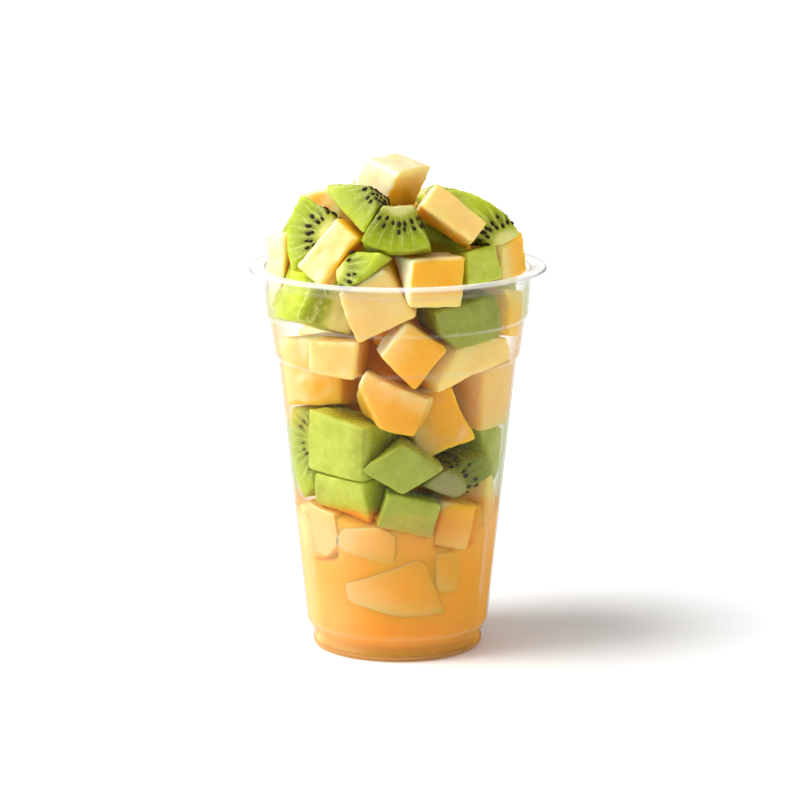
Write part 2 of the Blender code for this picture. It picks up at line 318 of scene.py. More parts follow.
CORE_SHIFTS = {                 # where a chunk's core lies away from what its arc tells
    "kiwi_chunk_15": Vector((19.0, 0.0, 0.5)) * MM,
    "kiwi_chunk_01": Vector((24.0, 0.0, 22.0)) * MM,
}

fruit_frames = {}
for node in kiwi_nodes:
    fruit_frames[node], arcs = fruit_frame(node)
    fruit_frames[node].translation += CORE_SHIFTS.get(node, Vector())
    print(node, "arc facets", arcs, "core", [round(v / MM, 1) for v in fruit_frames[node].translation])

# %% [markdown]
# ## Soft wet cuts
# Knife cuts in ripe fruit aren't plane: the edge is rounded by a millimetre or so, and the
# surface waves a little where the fibres gave way. Each chunk is remeshed into small even
# quads, which the Smooth modifier rounds at the edges, and then a Geometry Nodes tree pushes
# every point along its normal by noise: a broad wave and a finer grain. The tree's sizes are
# its inputs, so melon and kiwi share it.

# %% The grain tree
def new_tree(name, sockets):
    """A Geometry Nodes tree with named inputs; returns its graph and inputs as values."""
    tree = bpy.data.node_groups.new(name, "GeometryNodeTree")
    tree.interface.new_socket("Geometry", in_out="INPUT", socket_type="NodeSocketGeometry")
    for label, kind in sockets:
        tree.interface.new_socket(label, in_out="INPUT", socket_type=kind)
    tree.interface.new_socket("Geometry", in_out="OUTPUT", socket_type="NodeSocketGeometry")
    graph = Graph(tree)
    group = tree.nodes.new("NodeGroupInput")
    values = {socket.name: Value(graph, socket) for socket in group.outputs if socket.name}
    return graph, values


def end_tree(graph, geometry):
    output = graph.tree.nodes.new("NodeGroupOutput")
    graph.connect(output.inputs[0], geometry)


def use_tree(thing, graph, **inputs):
    """Puts a tree on an object as a modifier, its inputs set by their identifiers."""
    modifier = thing.modifiers.new(graph.tree.name, "NODES")
    modifier.node_group = graph.tree
    for item in graph.tree.interface.items_tree:
        if item.in_out == "INPUT" and item.name in inputs:
            modifier[item.identifier] = inputs[item.name]
    return modifier


def grain_tree():
    sizes = [("Wave", "NodeSocketFloat"), ("Grain", "NodeSocketFloat"), ("Fineness", "NodeSocketFloat")]
    graph, given = new_tree("cut_surface", sizes)
    place = graph.add("GeometryNodeInputPosition")
    normal = graph.add("GeometryNodeInputNormal")
    broad = graph.add("ShaderNodeTexNoise", None, {"Vector": place, "Scale": 140.0, "Detail": 1.0})
    fine = graph.add("ShaderNodeTexNoise", None, {"Vector": place, "Scale": given["Fineness"], "Detail": 2.0})
    rise = (broad - 0.5) * given["Wave"] + (fine - 0.5) * given["Grain"]
    moved = graph.add("GeometryNodeSetPosition", None,
                      {"Geometry": given["Geometry"], "Offset": graph.scaled(normal, rise)})
    real = graph.add("GeometryNodeRealizeInstances", None, {"Geometry": moved})
    end_tree(graph, real)
    return graph


cut_surface = grain_tree()
print("grain tree nodes", len(cut_surface.tree.nodes))

# %% Soften every chunk
VOXEL = 0.75 * MM
FRUIT_GAP = 0.3 * MM            # between the wall and the fruit that lies against it


def plain_mesh(thing):
    """The mesh that an object's modifiers make, with the object removed."""
    bpy.context.view_layer.update()
    graph = bpy.context.evaluated_depsgraph_get()
    mesh = bpy.data.meshes.new_from_object(thing.evaluated_get(graph), depsgraph=graph)
    old = thing.data
    bpy.data.objects.remove(thing)
    bpy.data.meshes.remove(old)
    return mesh


def softened(mesh, rounding, wave, grain, fineness):
    """A chunk with rounded edges and an uneven surface, as plain mesh data."""
    data = bpy.data.meshes.new("chunk")
    mesh.to_mesh(data)
    thing = bpy.data.objects.new("chunk", data)
    bpy.context.scene.collection.objects.link(thing)
    remesh = thing.modifiers.new("even quads", "REMESH")
    remesh.mode = "VOXEL"
    remesh.voxel_size = VOXEL
    smooth = thing.modifiers.new("round edges", "SMOOTH")
    smooth.factor = 0.5
    smooth.iterations = rounding
    use_tree(thing, cut_surface, Wave=wave, Grain=grain, Fineness=fineness)
    return plain_mesh(thing)


def pressed(data, left_over, room=7.0 * MM, share=0.1):
    """Moves what is near the wall towards it, to a gap of left_over, and what is past it back."""
    spots = np.empty(len(data.vertices) * 3)
    data.vertices.foreach_get("co", spots)
    spots = spots.reshape(-1, 3)
    reach = np.maximum(np.hypot(spots[:, 0], spots[:, 1]), 1e-6)
    gap = inner_radius(spots[:, 2]) - left_over - reach
    near = np.clip(gap, 0.0, room)
    closer = gap - near + near * (share + (1.0 - share) * near / room)
    closer = np.maximum(closer, 0.0)
    below_lip = np.clip((119.0 * MM - spots[:, 2]) / (6.0 * MM), 0.0, 1.0)
    spots[:, :2] *= (1.0 + below_lip * (gap - closer) / reach)[:, None]
    data.vertices.foreach_set("co", spots.ravel())


def note_fruit(data, matrix):
    """Stores where in its own fruit each point of a chunk lay."""
    inverse = np.array(matrix.inverted())
    spots = np.empty(len(data.vertices) * 3, np.float32)
    data.vertices.foreach_get("co", spots)
    spots = spots.reshape(-1, 3) @ inverse[:3, :3].T + inverse[:3, 3]
    layer = data.attributes.new("fruit", "FLOAT_VECTOR", "POINT")
    layer.data.foreach_set("vector", spots.astype(np.float32).ravel())


def note_tone(data, tone):
    """Stores how pale or dark a whole chunk is drawn, as a share of its fruit's colour: partly its own tone, partly
    painted light and shade.
    """
    layer = data.attributes.new("tone", "FLOAT", "POINT")
    layer.data.foreach_set("value", np.full(len(data.vertices), tone, np.float32))


TONES_AND_SHADING = {                       # chunks drawn darker or paler than most: partly their own tone, partly painted shade on chunks in shade and painted light on chunks facing the lights
    "kiwi_chunk_01": 1.20, "kiwi_chunk_02": 0.62, "kiwi_chunk_04": 0.74, "kiwi_chunk_05": 0.54,
    "kiwi_chunk_06": 0.70, "kiwi_chunk_08": 1.05, "kiwi_chunk_09": 0.80, "kiwi_chunk_10": 0.74,
    "kiwi_chunk_12": 0.90, "kiwi_chunk_14": 1.10, "kiwi_chunk_15": 1.10,
    "melon_chunk_01": 0.93, "melon_chunk_02": 0.82, "melon_chunk_03": 0.86, "melon_chunk_05": 0.93,
    "melon_chunk_09": 0.84, "melon_chunk_13": 1.24, "melon_chunk_14": 0.88, "melon_chunk_15": 1.18,
    "melon_chunk_30": 0.70, "melon_chunk_31": 0.70,
}


kiwi_meshes = {}
for node in kiwi_nodes:
    chunk = merged_chunk(node)
    kiwi_meshes[node] = softened(chunk, 6, 0.9 * MM, 0.35 * MM, 700.0)
    note_fruit(kiwi_meshes[node], fruit_frames[node])
    note_tone(kiwi_meshes[node], TONES_AND_SHADING.get(node, 1.0))
    pressed(kiwi_meshes[node], FRUIT_GAP)
    chunk.free()
print("kiwi faces", sum(len(mesh.polygons) for mesh in kiwi_meshes.values()))

# %% [markdown]
# A melon chunk has a rind side and a seed side too. Nothing in its shape tells which was which,
# so one is drawn at random for each chunk, with a fixed seed.

# %% Melon chunks
RIM_BLOCK = "melon_chunk_15"    # leans on the lip, and so stands clear of the wall
melon_meshes = {}
drawn = random.Random(4)


def melon_frame(mesh):
    """A frame whose axis points to where the chunk's rind was."""
    axis = Vector((drawn.uniform(-1.3, 0.5), drawn.uniform(-1, 0.8), drawn.uniform(-0.6, 1))).normalized()
    face = max(mesh.faces, key=lambda item: item.normal.dot(axis))
    axis = face.normal.copy()
    matrix = axis.to_track_quat("Z", "Y").to_matrix().to_4x4()
    matrix.translation = face.calc_center_median() - axis * 10 * MM
    return matrix


for node in melon_nodes:
    chunk = merged_chunk(node)
    melon_meshes[node] = softened(chunk, 11, 1.1 * MM, 0.12 * MM, 500.0)
    note_fruit(melon_meshes[node], melon_frame(chunk))
    note_tone(melon_meshes[node], TONES_AND_SHADING.get(node, 1.0))
    if node != RIM_BLOCK:
        pressed(melon_meshes[node], FRUIT_GAP)
    chunk.free()
print("melon faces", sum(len(mesh.polygons) for mesh in melon_meshes.values()))

# %% [markdown]
# ## Kiwi seeds
# Real seeds lie in ranks round the core, two or three deep in each ray's gap and stacked along
# the fruit. A Geometry Nodes tree lays out that whole stack for each chunk, keeps the seeds
# that a cut went near, sets them into the surface and points them at the core. Every seed is
# the same small mesh of a few dozen faces.

# %% The seed
def seed_object():
    mesh = bmesh.new()
    bmesh.ops.create_uvsphere(mesh, u_segments=8, v_segments=5, radius=1.0)
    for vertex in mesh.verts:
        narrow = 1.0 - 0.35 * max(0.0, -vertex.co.x)
        vertex.co = Vector((vertex.co.x * 0.95, vertex.co.y * 0.58 * narrow, vertex.co.z * 0.42)) * MM
    data = bpy.data.meshes.new("seed")
    mesh.to_mesh(data)
    mesh.free()
    data.shade_smooth()
    return bpy.data.objects.new("seed", data)


RAYS = 26


def seed_tree():
    vectors = [(name, "NodeSocketVector") for name in ("Core", "Across", "Up", "Axis")]
    graph, given = new_tree("seeds", vectors + [("Reach", "NodeSocketFloat"), ("Seed", "NodeSocketObject"),
                                                ("Look", "NodeSocketMaterial"), ("Draw", "NodeSocketInt"),
                                                ("Share", "NodeSocketFloat")])
    rows, columns = 15, 2
    points = graph.add("GeometryNodePoints", None, {"Count": RAYS * rows * columns})
    index = graph.add("GeometryNodeInputIndex")
    ray = (index / (rows * columns)).maths("FLOOR", index / (rows * columns))
    inside = index - ray * (rows * columns)
    column = (inside / rows).maths("FLOOR", inside / rows)
    row = inside - column * rows

    def drawn_value(low, high, salt):
        values = {2: low, 3: high, "Seed": given["Draw"] + salt}
        return graph.add("FunctionNodeRandomValue", {"data_type": "FLOAT"}, values, out=1)

    angle = (ray + 0.5 + drawn_value(-0.22, 0.22, 1)) * (2 * math.pi / RAYS)
    radius = (column * 2.1 + 8.4 + drawn_value(-0.7, 0.8, 2)) * MM
    along = (row - (rows - 1) / 2 + column * 0.5 + drawn_value(-0.35, 0.35, 3)) * (2.0 * MM)
    spot = graph.arrow("ADD", given["Core"], graph.scaled(given["Across"], angle.maths("COSINE", angle) * radius))
    spot = graph.arrow("ADD", spot, graph.scaled(given["Up"], angle.maths("SINE", angle) * radius))
    spot = graph.arrow("ADD", spot, graph.scaled(given["Axis"], along))
    points = graph.add("GeometryNodeSetPosition", None, {"Geometry": points, "Position": spot})
    position = graph.add("GeometryNodeInputPosition")
    near = graph.tree.nodes.new("GeometryNodeProximity")
    graph.connect(near.inputs[0], given["Geometry"])
    closest, distance = Value(graph, near.outputs["Position"]), Value(graph, near.outputs["Distance"])
    normal = graph.add("GeometryNodeInputNormal")
    outward = graph.add("GeometryNodeSampleNearestSurface", {"data_type": "FLOAT_VECTOR"},
                        {"Mesh": given["Geometry"], "Value": normal})
    stored = graph.tree.nodes.new("GeometryNodeCaptureAttribute")
    stored.capture_items.new("VECTOR", "spot")
    stored.capture_items.new("VECTOR", "normal")
    stored.capture_items.new("FLOAT", "distance")
    graph.connect(stored.inputs[0], points)
    graph.connect(stored.inputs[1], closest)
    graph.connect(stored.inputs[2], outward)
    graph.connect(stored.inputs[3], distance)
    points = Value(graph, stored.outputs[0])
    spot, normal, distance = (Value(graph, stored.outputs[place]) for place in (1, 2, 3))
    far = graph.add("FunctionNodeCompare", {"data_type": "FLOAT", "operation": "GREATER_THAN"},
                    {0: distance, 1: given["Reach"]})
    kept = graph.add("GeometryNodeDeleteGeometry", {"domain": "POINT"}, {"Geometry": points, "Selection": far})
    missing = graph.add("FunctionNodeCompare", {"data_type": "FLOAT", "operation": "GREATER_THAN"},
                        {0: drawn_value(0.0, 1.0, 5), 1: given["Share"]})
    kept = graph.add("GeometryNodeDeleteGeometry", {"domain": "POINT"}, {"Geometry": kept, "Selection": missing})
    sunk = graph.arrow("ADD", spot, graph.scaled(normal, 0.05 * MM))
    kept = graph.add("GeometryNodeSetPosition", None, {"Geometry": kept, "Position": sunk})
    inward = graph.arrow("SUBTRACT", given["Core"], position)
    turn = graph.add("FunctionNodeAlignRotationToVector", {"axis": "Z"}, {"Vector": normal})
    turn = graph.add("FunctionNodeAlignRotationToVector", {"axis": "X", "pivot_axis": "Z"},
                     {"Rotation": turn, "Vector": inward})
    shape = graph.add("GeometryNodeObjectInfo", None, {"Object": given["Seed"]}, out="Geometry")
    size = drawn_value(0.82, 1.15, 4)
    copies = graph.add("GeometryNodeInstanceOnPoints", None,
                       {"Points": kept, "Instance": shape, "Rotation": turn, "Scale": size})
    real = graph.add("GeometryNodeRealizeInstances", None, {"Geometry": copies})
    end_tree(graph, graph.add("GeometryNodeSetMaterial", None, {"Geometry": real, "Material": given["Look"]}))
    return graph


seeds_tree = seed_tree()
seed = seed_object()
print("seed faces", len(seed.data.polygons), "seed tree nodes", len(seeds_tree.tree.nodes))

# %% [markdown]
# Seeds are nearly black, with a thin wet coat that gives each a small highlight.

# %% Seed look
seed_look, graph = new_look("seed_shell")
place = graph.add("ShaderNodeTexCoord", None, None, out="Object")
speck = graph.add("ShaderNodeTexNoise", None, {"Vector": place, "Scale": 900.0})
shell = graph.add("ShaderNodeBsdfPrincipled", None, {
    "Base Color": graph.mix(speck, colour(0.014, 0.004, 0.0005), colour(0.040, 0.018, 0.002)),
    "Roughness": speck.ramp(0.3, 0.7, 0.25, 0.40),
    "Specular IOR Level": 0.15,
    "Coat Weight": 0.05,
    "Coat Roughness": 0.10,
})
finish_look(graph, shell)


# %% [markdown]
# Many a chunk is cut from flesh outside the seeds, or shows them on one side only. So each has
# its share of them: all on the cuts across the core in the heap, and few or none lower down.

# %% Set the seeds
SEED_SHARES = {
    1: 0.0, 2: 0.0, 3: 0.05, 4: 0.0, 5: 1.0, 6: 0.15, 7: 0.6, 8: 0.05, 9: 0.0, 10: 1.0, 11: 0.7,
    12: 0.9, 13: 1.0, 14: 0.0, 15: 1.0, 16: 0.3, 17: 0.0,
}
OTHER_SHARE = 0.35


def seeds_on(node, order):
    """The seeds that show on one kiwi chunk, as plain mesh data."""
    data = kiwi_meshes[node].copy()
    thing = bpy.data.objects.new("seeds", data)
    bpy.context.scene.collection.objects.link(thing)
    matrix = fruit_frames[node]
    across, up, axis, core = (tuple(matrix.col[i][:3]) for i in range(4))
    use_tree(thing, seeds_tree, Core=core, Across=across, Up=up, Axis=axis, Reach=0.75 * MM,
             Seed=seed, Look=seed_look, Draw=10 * order, Share=SEED_SHARES.get(order, OTHER_SHARE))
    return plain_mesh(thing)


seed_meshes = {}
for order, node in enumerate(kiwi_nodes, 1):
    seed_meshes[node] = seeds_on(node, order)
print("seeds", sum(len(mesh.vertices) for mesh in seed_meshes.values()) // len(seed.data.vertices))

# %% [markdown]
# ## Kiwi flesh
# In the fruit's own frame the distance from the axis gives the rings: a cream core, the dark
# wet zone of the seeds, bright flesh, and a paler rim under the skin. The angle gives the rays,
# fine pale walls that fan out of the core. Noise bends both a little.

# %% Kiwi look
def fruit_place(graph):
    """The point in its own fruit, in millimetres, as a vector."""
    spot = graph.add("ShaderNodeAttribute", {"attribute_name": "fruit"}, None, out="Vector")
    return graph.scaled(spot, 1000.0)


# Scales kiwi flesh by its chunk's tone, which holds painted light and shade besides the chunk's own tone.
def toned(graph, flesh):
    tone = graph.add("ShaderNodeAttribute", {"attribute_name": "tone"}, None, out="Fac")
    return graph.scaled(flesh, tone)


kiwi_look, graph = new_look("kiwi_flesh")
place = fruit_place(graph)
bend = graph.add("ShaderNodeTexNoise", None, {"Vector": place, "Scale": 0.22, "Detail": 2.0})
x, y, z = separate(graph, place)
radius = (x * x + y * y).maths("SQRT", x * x + y * y) + (bend - 0.5) * 2.2
angle = x.maths("ARCTAN2", y, x)
swing = (angle + (bend - 0.5) * 0.10) * RAYS
ray = swing.maths("COSINE", swing)
fibres = graph.add("ShaderNodeTexNoise", None, {"Vector": place, "Scale": 1.6, "Detail": 3.0})
broad = graph.add("ShaderNodeTexNoise", None, {"Vector": place, "Scale": 0.16, "Detail": 1.0})
outward_place = graph.add("ShaderNodeCombineXYZ", None, {"X": angle * 9.0, "Y": radius * 0.22, "Z": z * 0.5})
streaks = graph.add("ShaderNodeTexNoise", None, {"Vector": outward_place, "Scale": 1.0, "Detail": 4.0})
rings = graph.add("ShaderNodeValToRGB", {"stops": [
    (0.00, (0.74, 0.66, 0.32)), (0.22, (0.66, 0.62, 0.22)), (0.30, (0.36, 0.39, 0.020)),
    (0.40, (0.20, 0.23, 0.001)), (0.56, (0.31, 0.37, 0.003)), (0.78, (0.44, 0.52, 0.012)),
    (0.95, (0.52, 0.58, 0.08)), (1.00, (0.44, 0.47, 0.05))]}, {"Fac": radius / 23.0})
wall = ray.ramp(0.80, 1.0) * radius.ramp(6.0, 8.5) * radius.ramp(12.5, 19.0, 1.0, 0.0) * fibres.ramp(0.30, 0.55)
gap = ray.ramp(-0.1, -1.0) * radius.ramp(7.0, 8.5) * radius.ramp(10.5, 15.0, 1.0, 0.0)
flesh = graph.mix(wall * 0.55, rings, colour(0.68, 0.72, 0.26))
flesh = graph.mix(gap * 0.55, flesh, colour(0.09, 0.11, 0.001))
flesh = graph.mix(streaks.ramp(0.50, 0.72) * 0.40, flesh, colour(0.62, 0.70, 0.14))
flesh = graph.mix(streaks.ramp(0.48, 0.28) * 0.25, flesh, colour(0.22, 0.27, 0.002))
flesh = graph.mix((fibres - 0.35) * 0.35, flesh, colour(0.60, 0.68, 0.10))
flesh = graph.mix(broad.ramp(0.45, 0.75) * 0.30, flesh, colour(0.26, 0.33, 0.003))
flesh = graph.mix(in_juice(graph), toned(graph, flesh), JUICE_COLOUR)
rise = fibres * 0.6 + streaks * 0.5 + wall * 0.5 - gap * 0.3
bump = graph.add("ShaderNodeBump", None, {"Strength": 0.6, "Distance": 0.3 * MM, "Height": rise})
kiwi_flesh = graph.add("ShaderNodeBsdfPrincipled", None, {
    "Base Color": flesh,
    "Roughness": fibres.ramp(0.3, 0.7, 0.16, 0.38),
    "Subsurface Weight": 0.7,
    "Subsurface Radius": (0.8, 1.0, 0.25),
    "Subsurface Scale": 3.0 * MM,
    "Specular IOR Level": 0.3,
    "IOR": 1.38,
    "Coat Weight": 0.15,
    "Coat Roughness": 0.12,
    "Normal": bump,
})
finish_look(graph, kiwi_flesh)
print("kiwi look nodes", len(graph.tree.nodes))

# %% [markdown]
# ## Melon flesh
# Melon is plainer: orange that pales to yellow and green towards the rind, with a soft mottle
# and faint fibres. What makes it look ripe is the light that soaks in and comes out elsewhere,
# so it is given strong subsurface scattering that carries red the furthest. Light and shade are
# also painted into its colour: sides that face the lights are painted paler, and chunks that lie
# in shade are painted a deeper orange.

# %% Melon look
PAINTED_LIGHT_SIDE = (-0.70, -0.36, 0.62)     # the side that faces the lights; flesh turned that way is painted paler, as painted light


def melon_material(name, tint, wetness):
    look, graph = new_look(name)
    place = fruit_place(graph)
    outer = separate(graph, place)[2]
    mottle = graph.add("ShaderNodeTexNoise", None, {"Vector": place, "Scale": 0.13, "Detail": 2.0})
    stretched = graph.add("ShaderNodeMapping", None, {"Vector": place, "Scale": (1.6, 1.6, 0.25)})
    fibres = graph.add("ShaderNodeTexNoise", None, {"Vector": stretched, "Scale": 0.9, "Detail": 4.0})
    flesh = graph.mix(mottle.ramp(0.3, 0.7), colour(*tint[0]), colour(*tint[1]))
    flesh = graph.mix(fibres.ramp(0.35, 0.75) * 0.30, flesh, colour(*tint[2]))
    flesh = graph.mix((outer + mottle * 5.0).ramp(4.0, 13.0) * 0.85, flesh, colour(*tint[3]))
    flesh = graph.mix((outer + mottle * 3.0).ramp(11.2, 12.2) * 0.30, flesh, colour(0.80, 0.74, 0.30))
    # Painted light: flesh turned towards the lights is mixed towards pale cream, more so on chunks toned above 1.
    normal = graph.add("ShaderNodeNewGeometry", None, None, out="Normal")
    up_left = graph.arrow("DOT_PRODUCT", normal, PAINTED_LIGHT_SIDE, out="Value")
    painted_light = up_left.ramp(0.40, 0.95)
    flesh = graph.mix(painted_light * (painted_light * 0.35 + 0.45), flesh, colour(0.98, 0.86, 0.58))
    tone = graph.add("ShaderNodeAttribute", {"attribute_name": "tone"}, None, out="Fac")
    flesh = graph.mix(up_left.ramp(0.15, 0.60) * tone.ramp(1.0, 1.5), flesh, colour(1.0, 0.95, 0.80))
    # Scaling by the tone darkens a chunk, partly for its own tone and partly as painted shade; below 0.8 it also
    # turns a deep orange, painted shade for flesh deep in the heap.
    flesh = graph.scaled(flesh, tone.maths("MINIMUM", tone, 1.0))
    flesh = graph.mix(tone.ramp(0.80, 0.70), flesh, colour(1.0, 0.30, 0.003))
    flesh = graph.mix(in_juice(graph), flesh, JUICE_COLOUR)
    rise = fibres * 0.7 + mottle * 0.5
    bump = graph.add("ShaderNodeBump", None, {"Strength": 0.35, "Distance": 0.4 * MM, "Height": rise})
    body = graph.add("ShaderNodeBsdfPrincipled", None, {
        "Base Color": flesh,
        "Roughness": fibres.ramp(0.3, 0.7, 0.26, 0.46),
        "Subsurface Weight": 0.9,
        "Subsurface Radius": (1.0, 0.45, 0.12),
        "Subsurface Scale": 8.0 * MM,
        "IOR": 1.36,
        "Specular IOR Level": 0.3,
        "Coat Weight": wetness,
        "Coat Roughness": 0.18,
        "Normal": bump,
    })
    finish_look(graph, body)
    return look


MELON_TINTS = [(0.92, 0.45, 0.015), (0.94, 0.50, 0.030), (0.95, 0.58, 0.07), (0.96, 0.72, 0.26)]
melon_look = melon_material("melon_flesh", MELON_TINTS, 0.12)

# %% [markdown]
# ## One piece for each course of fruit
# Chunks of the same fruit at the same level are joined into one piece, which rides on the cup
# and stands for all their CAD nodes. A few dozen nodes so become about a dozen pieces.

# %% Join and place
LEVELS = (0.0, 0.062, 0.088, 0.106, 0.1235, 0.2)


def level_of(node):
    low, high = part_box(node)
    middle = (low.z + high.z) / 2
    side = "front" if (low.y + high.y) / 2 < 0 else "back"
    return sum(middle > level for level in LEVELS[1:-1]), side


def joined(name, meshes, look):
    """One object out of many meshes, at the origin, riding on the cup."""
    whole = bmesh.new()
    for mesh in meshes:
        whole.from_mesh(mesh)
    data = bpy.data.meshes.new(name)
    whole.to_mesh(data)
    whole.free()
    data.materials.clear()
    data.materials.append(look)
    data.shade_smooth()
    thing = bpy.data.objects.new(name, data)
    bpy.context.scene.collection.objects.link(thing)
    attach(thing, "root")
    return thing


for fruit, meshes, look in (("kiwi", kiwi_meshes, kiwi_look), ("melon", melon_meshes, melon_look)):
    groups = {}
    for node in meshes:
        groups.setdefault(level_of(node), []).append(node)
    for (level, side), nodes in sorted(groups.items()):
        piece = joined("%s_%s_%d" % (fruit, side, level), [meshes[node] for node in nodes], look)
        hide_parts(*nodes)
        print(piece.name, len(nodes), "chunks", len(piece.data.polygons), "faces")

seeds = joined("kiwi_seeds", seed_meshes.values(), seed_look)
print("seed faces", len(seeds.data.polygons))

# %% [markdown]
# ## The clear wall
# The cup is a thin turned wall, so a finer turned wall takes its place, from the same outline.
# Each corner gets a small round, because a thermoformed wall has none that are sharp.

# %% Turn an outline
def rounded(points, reach, steps=3):
    """The same outline with every corner replaced by a short curve."""
    result = [points[0]]
    for before, corner, after in zip(points, points[1:], points[2:]):
        before, corner, after = Vector(before), Vector(corner), Vector(after)
        back = min(reach, 0.4 * (before - corner).length)
        ahead = min(reach, 0.4 * (after - corner).length)
        start = corner + (before - corner).normalized() * back
        end = corner + (after - corner).normalized() * ahead
        for step in range(steps + 1):
            t = step / steps
            result.append(tuple(start * (1 - t) ** 2 + corner * 2 * t * (1 - t) + end * t * t))
    return result + [points[-1]]


def turned(name, points, sides):
    """A turned mesh from an outline, closed on the axis, its faces pointing out."""
    data = bpy.data.meshes.new(name)
    edges = [(i, i + 1) for i in range(len(points) - 1)]
    data.from_pydata([(r, 0.0, z) for r, z in points], edges, [])
    thing = bpy.data.objects.new(name, data)
    bpy.context.scene.collection.objects.link(thing)
    screw = thing.modifiers.new("turn", "SCREW")
    screw.steps = sides
    screw.render_steps = sides
    screw.use_merge_vertices = True
    screw.merge_threshold = 0.000005
    screw.use_smooth_shade = True
    mesh = plain_mesh(thing)
    work = bmesh.new()
    work.from_mesh(mesh)
    bmesh.ops.remove_doubles(work, verts=work.verts, dist=1e-6)
    bmesh.ops.recalc_face_normals(work, faces=work.faces)
    work.to_mesh(mesh)
    work.free()
    mesh.shade_smooth()
    return mesh


# %% [markdown]
# A clear wall this thin bends light very little, so it is made as a film: mostly see-through,
# with a mirror share that grows at a slant and a faint milky haze. Light and shadows then pass
# straight through to the fruit. The haze is tinted by height with the fruit's colours, a painted
# glow of the fruit behind it, and painted shade darkens it where the wall turns away and at the
# lip's ends. Thermoformed plastic is thickest at its lip and at each step, where it shows as pale
# lines, partly thicker plastic and partly painted highlights on the bends, so an attribute marks
# those heights with more haze and a near-white colour.

# %% Thick places of the wall
LINES = (                       # height, half width and strength of each pale line
    (123.5, 0.7, 0.8), (119.6, 0.45, 0.20), (107.6, 0.55, 0.16), (94.6, 0.7, 0.13),
    (8.0, 0.5, 0.12), (5.0, 0.5, 0.05), (1.2, 0.6, 0.05))


def note_lines(data):
    """Stores how pale the wall is drawn at each point: thicker, milkier plastic and painted highlights on its
    bends.
    """
    spots = np.empty(len(data.vertices) * 3)
    data.vertices.foreach_get("co", spots)
    heights = spots[2::3] / MM
    amount = sum(share * np.exp(-((heights - height) / width) ** 2) for height, width, share in LINES)
    layer = data.attributes.new("lines", "FLOAT", "POINT")
    layer.data.foreach_set("value", np.clip(amount, 0, 1).astype(np.float32))


def stations(points, step):
    """The same outline with points added so that none lie further apart than a step."""
    result = [points[0]]
    for before, after in zip(points, points[1:]):
        before, after = Vector(before), Vector(after)
        count = max(1, math.ceil((after - before).length / step))
        result += [tuple(before.lerp(after, order / count)) for order in range(1, count + 1)]
    return result


# %% Cup look
VEIL = [                        # painted glow of the fruit behind the wall's slanting parts, by height in millimetres
    (0, (0.78, 0.38, 0.05)), (48, (0.78, 0.38, 0.05)), (54, (0.42, 0.48, 0.06)), (72, (0.46, 0.52, 0.08)),
    (80, (0.84, 0.48, 0.10)), (104, (0.86, 0.54, 0.16)), (110, (0.52, 0.58, 0.12)), (117, (0.58, 0.60, 0.20)),
    (119, (0.52, 0.54, 0.56))]


def film(name, haze, slant_haze, line_haze, mirror):
    look, graph = new_look(name)
    place = graph.add("ShaderNodeTexCoord", None, None, out="Object")
    smear = graph.add("ShaderNodeTexNoise", None, {"Vector": place, "Scale": 38.0, "Detail": 3.0})
    height = separate(graph, place)[2]
    slant = graph.add("ShaderNodeLayerWeight", None, {"Blend": 0.5}, out="Facing")
    lines = graph.add("ShaderNodeAttribute", {"attribute_name": "lines"}, None, out="Fac")
    tint = graph.add("ShaderNodeValToRGB", {"stops": [(top / 124, shade) for top, shade in VEIL]},
                     {"Fac": height / (124 * MM) + (smear - 0.5) * 0.05})
    # Painted shade: where the wall turns away from view it is drawn dark grey-green.
    tint = graph.mix(slant.ramp(0.80, 0.98) * 0.6, tint, colour(0.40, 0.42, 0.32))
    # The pale lines: partly thicker plastic, partly painted highlights on the wall's bends.
    tint = graph.mix(lines.ramp(0.0, 0.2), tint, colour(0.97, 0.96, 0.94))
    normal = graph.add("ShaderNodeNewGeometry", None, None, out="Normal")
    upward = separate(graph, normal)[2]
    # Painted shade: the ends of the lip, seen edge on, are drawn dark grey.
    lip_end = slant.ramp(0.30, 0.80) * (1.0 - upward * upward) * lines.ramp(0.35, 0.70)
    tint = graph.mix(lip_end * 0.95, tint, colour(0.13, 0.13, 0.16))
    clear = graph.add("ShaderNodeBsdfTransparent", None, {"Color": colour(0.997, 0.997, 0.997)})
    milk = graph.add("ShaderNodeBsdfDiffuse", None, {"Color": tint})
    low = height.ramp(117.0 * MM, 120.0 * MM, slant_haze, 0.30)
    veil = smear.ramp(0.3, 0.7, haze[0], haze[1]) + slant ** 3.0 * low + lines * line_haze + lip_end * 0.5
    # Painted light: the lowest 3 mm of the wall get more tinted haze, where the down-facing wall would be dark.
    veil = veil + height.ramp(3.0 * MM, 1.0 * MM) * 0.4 + lines.ramp(0.35, 0.70) * 0.12
    body = graph.add("ShaderNodeMixShader", None, {0: veil, 1: clear, 2: milk})
    shine = graph.add("ShaderNodeBsdfGlossy", None, {"Color": colour(1.0, 1.0, 1.0), "Roughness": 0.05})
    share = slant ** 5.0 * (0.15 - mirror) + mirror
    finish_look(graph, graph.add("ShaderNodeMixShader", None, {0: share, 1: body, 2: shine}))
    return look


wall_look = film("cup_wall", (0.001, 0.007), 0.60, 0.42, 0.005)
cup_mesh = turned("cup_wall", stations(rounded(cup_outline, 0.5 * MM), 1.2 * MM), 144)
note_lines(cup_mesh)
cup = joined("cup_wall", [cup_mesh], wall_look)
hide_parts("cup")
print("cup faces", len(cup.data.polygons))

# %% [markdown]
# ## Juice
# The juice is two pieces. Its skin reaches just into the wall, so that no air shows between
# them, and is nearly clear with a little pulp; inside it light is taken up, blue first. A few
# millimetres in stands a cloudy body that light soaks into, and which nothing shows through.
# Both follow the inner side of the cup down into the ring of its foot.

